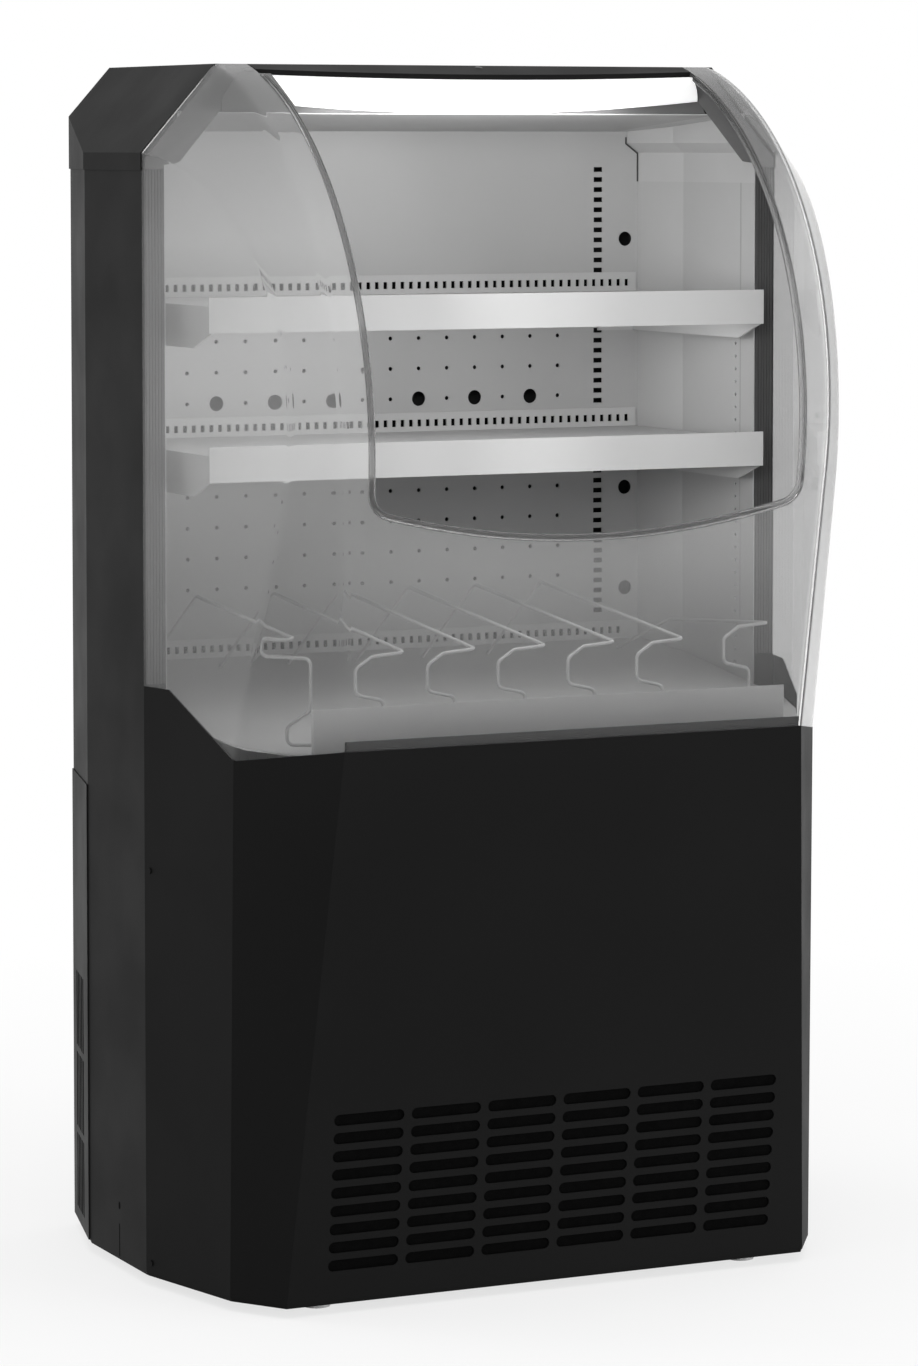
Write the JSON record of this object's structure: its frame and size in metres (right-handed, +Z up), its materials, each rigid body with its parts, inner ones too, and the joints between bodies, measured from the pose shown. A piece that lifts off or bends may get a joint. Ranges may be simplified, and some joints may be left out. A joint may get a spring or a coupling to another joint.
{
  "type": "open-front display fridge",
  "caption": "Free-standing open-front display fridge: black cabinet with slotted front panel, bulging clear visor, lit canopy, hung shelves and a sloping deck with wire dividers.",
  "frame": {"origin": "on the floor, below the middle of the cabinet, in the plane of the front flanges", "axes": "+Z up, -Y towards the customer, +X to the customer's right"},
  "size_m": [0.823, 0.6537, 1.4],
  "materials": {
    "black_steel": "fine powder coat, satin",
    "liner_grey": "smooth grey coating",
    "moulding_white": "satin moulded plastic",
    "shelf_grey": "smooth light grey coating",
    "wire_grey": "coated wire",
    "foot_plastic": "moulded plastic",
    "clear_visor": "clear polycarbonate",
    "clear_trim": "clear bead",
    "diffuser_white": "opal white",
    "lamp_aluminium": "extruded",
    "led_board": "white board",
    "foam": "rigid foam",
    "zinc_steel": "galvanised sheet",
    "fins": "plain fins",
    "compressor_black": "gloss black enamel",
    "motor_grey": "painted",
    "fan_plastic": "moulded",
    "tray_plastic": "moulded",
    "control_plastic": "moulded",
    "knob_plastic": "moulded",
    "filter_black": "open black filter mat"
  },
  "bodies": {
    "cabinet": {"side_panel_left": "black_steel", "side_panel_right": "black_steel", "back_panel": "black_steel", "rear_cover": "black_steel", "top_hood": "black_steel", "front_panel": "black_steel", "canopy_fascia": "black_steel", "panel_screws": "black_steel", "liner_back": "liner_grey", "liner_side_left": "liner_grey", "liner_side_right": "liner_grey", "liner_ceiling": "liner_grey", "corner_moulding_left": "moulding_white", "corner_moulding_right": "moulding_white", "deck": "shelf_grey", "visor": "clear_visor", "visor_trim": "clear_trim", "light_diffuser": "diffuser_white", "light_housing": "lamp_aluminium", "led_board": "led_board", "insulation_back": "foam", "insulation_top": "foam", "insulation_floor": "foam", "insulation_side_left": "foam", "insulation_side_right": "foam", "base_tray": "black_steel", "fan_shroud": "zinc_steel", "evaporator_fan_frame": "zinc_steel", "condenser": "fins", "evaporator": "fins", "compressor": "compressor_black", "condenser_fan_motor": "motor_grey", "evaporator_fan_motors": "motor_grey", "drip_tray": "tray_plastic", "control_box": "control_plastic", "mains_inlet": "control_plastic", "air_filter": "filter_black"},
    "shelf_upper": {"shelf_upper": "shelf_grey", "shelf_bracket_upper_left": "shelf_grey", "shelf_bracket_upper_right": "shelf_grey"},
    "shelf_lower": {"shelf_lower": "shelf_grey", "shelf_bracket_lower_left": "shelf_grey", "shelf_bracket_lower_right": "shelf_grey"},
    "condenser_fan": {"condenser_fan": "fan_plastic"},
    "evaporator_fan_left": {"evaporator_fan_left": "fan_plastic"},
    "evaporator_fan_right": {"evaporator_fan_right": "fan_plastic"},
    "thermostat_knob": {"thermostat_knob": "knob_plastic"},
    "power_switch": {"power_switch": "knob_plastic"},
    "divider_1": {"divider_1": "wire_grey"},
    "divider_2": {"divider_2": "wire_grey"},
    "divider_3": {"divider_3": "wire_grey"},
    "divider_4": {"divider_4": "wire_grey"},
    "divider_5": {"divider_5": "wire_grey"},
    "divider_6": {"divider_6": "wire_grey"},
    "divider_7": {"divider_7": "wire_grey"},
    "foot_front_left": {"foot_front_left": "foot_plastic"},
    "foot_front_right": {"foot_front_right": "foot_plastic"},
    "foot_rear_left": {"foot_rear_left": "foot_plastic"},
    "foot_rear_right": {"foot_rear_right": "foot_plastic"}
  },
  "joints": [
    {"name": "shelf_upper_tilt", "type": "hinge", "parent": "cabinet", "child": "shelf_upper", "pos_m": [0, 0.26345, 1.149], "axis": [-1, 0, 0], "range_deg": [0, 12]},
    {"name": "shelf_lower_tilt", "type": "hinge", "parent": "cabinet", "child": "shelf_lower", "pos_m": [0, 0.26345, 0.98], "axis": [-1, 0, 0], "range_deg": [0, 12]},
    {"name": "condenser_fan_spin", "type": "hinge", "parent": "cabinet", "child": "condenser_fan", "pos_m": [0.094, -0.102, 0.142], "axis": [0, 1, 0], "continuous": true},
    {"name": "evaporator_fan_left_spin", "type": "hinge", "parent": "cabinet", "child": "evaporator_fan_left", "pos_m": [-0.16, 0.11, 0.592], "axis": [0, 1, 0], "continuous": true},
    {"name": "evaporator_fan_right_spin", "type": "hinge", "parent": "cabinet", "child": "evaporator_fan_right", "pos_m": [0.16, 0.11, 0.592], "axis": [0, 1, 0], "continuous": true},
    {"name": "thermostat_turn", "type": "hinge", "parent": "cabinet", "child": "thermostat_knob", "pos_m": [-0.045, 0.32, 0.435], "axis": [0, 1, 0], "range_deg": [-135, 135]},
    {"name": "power_rock", "type": "hinge", "parent": "cabinet", "child": "power_switch", "pos_m": [0.0225, 0.3125, 0.435], "axis": [1, 0, 0], "range_deg": [0, 16]},
    {"name": "divider_1_lift", "type": "slide", "parent": "cabinet", "child": "divider_1", "axis": [0, 0, 1], "range_m": [0, 0.03]},
    {"name": "divider_2_lift", "type": "slide", "parent": "cabinet", "child": "divider_2", "axis": [0, 0, 1], "range_m": [0, 0.03]},
    {"name": "divider_3_lift", "type": "slide", "parent": "cabinet", "child": "divider_3", "axis": [0, 0, 1], "range_m": [0, 0.03]},
    {"name": "divider_4_lift", "type": "slide", "parent": "cabinet", "child": "divider_4", "axis": [0, 0, 1], "range_m": [0, 0.03]},
    {"name": "divider_5_lift", "type": "slide", "parent": "cabinet", "child": "divider_5", "axis": [0, 0, 1], "range_m": [0, 0.03]},
    {"name": "divider_6_lift", "type": "slide", "parent": "cabinet", "child": "divider_6", "axis": [0, 0, 1], "range_m": [0, 0.03]},
    {"name": "divider_7_lift", "type": "slide", "parent": "cabinet", "child": "divider_7", "axis": [0, 0, 1], "range_m": [0, 0.03]},
    {"name": "foot_front_left_screw", "type": "slide", "parent": "cabinet", "child": "foot_front_left", "axis": [0, 0, -1], "range_m": [0, 0.012]},
    {"name": "foot_front_right_screw", "type": "slide", "parent": "cabinet", "child": "foot_front_right", "axis": [0, 0, -1], "range_m": [0, 0.012]},
    {"name": "foot_rear_left_screw", "type": "slide", "parent": "cabinet", "child": "foot_rear_left", "axis": [0, 0, -1], "range_m": [0, 0.012]},
    {"name": "foot_rear_right_screw", "type": "slide", "parent": "cabinet", "child": "foot_rear_right", "axis": [0, 0, -1], "range_m": [0, 0.012]}
  ]
}
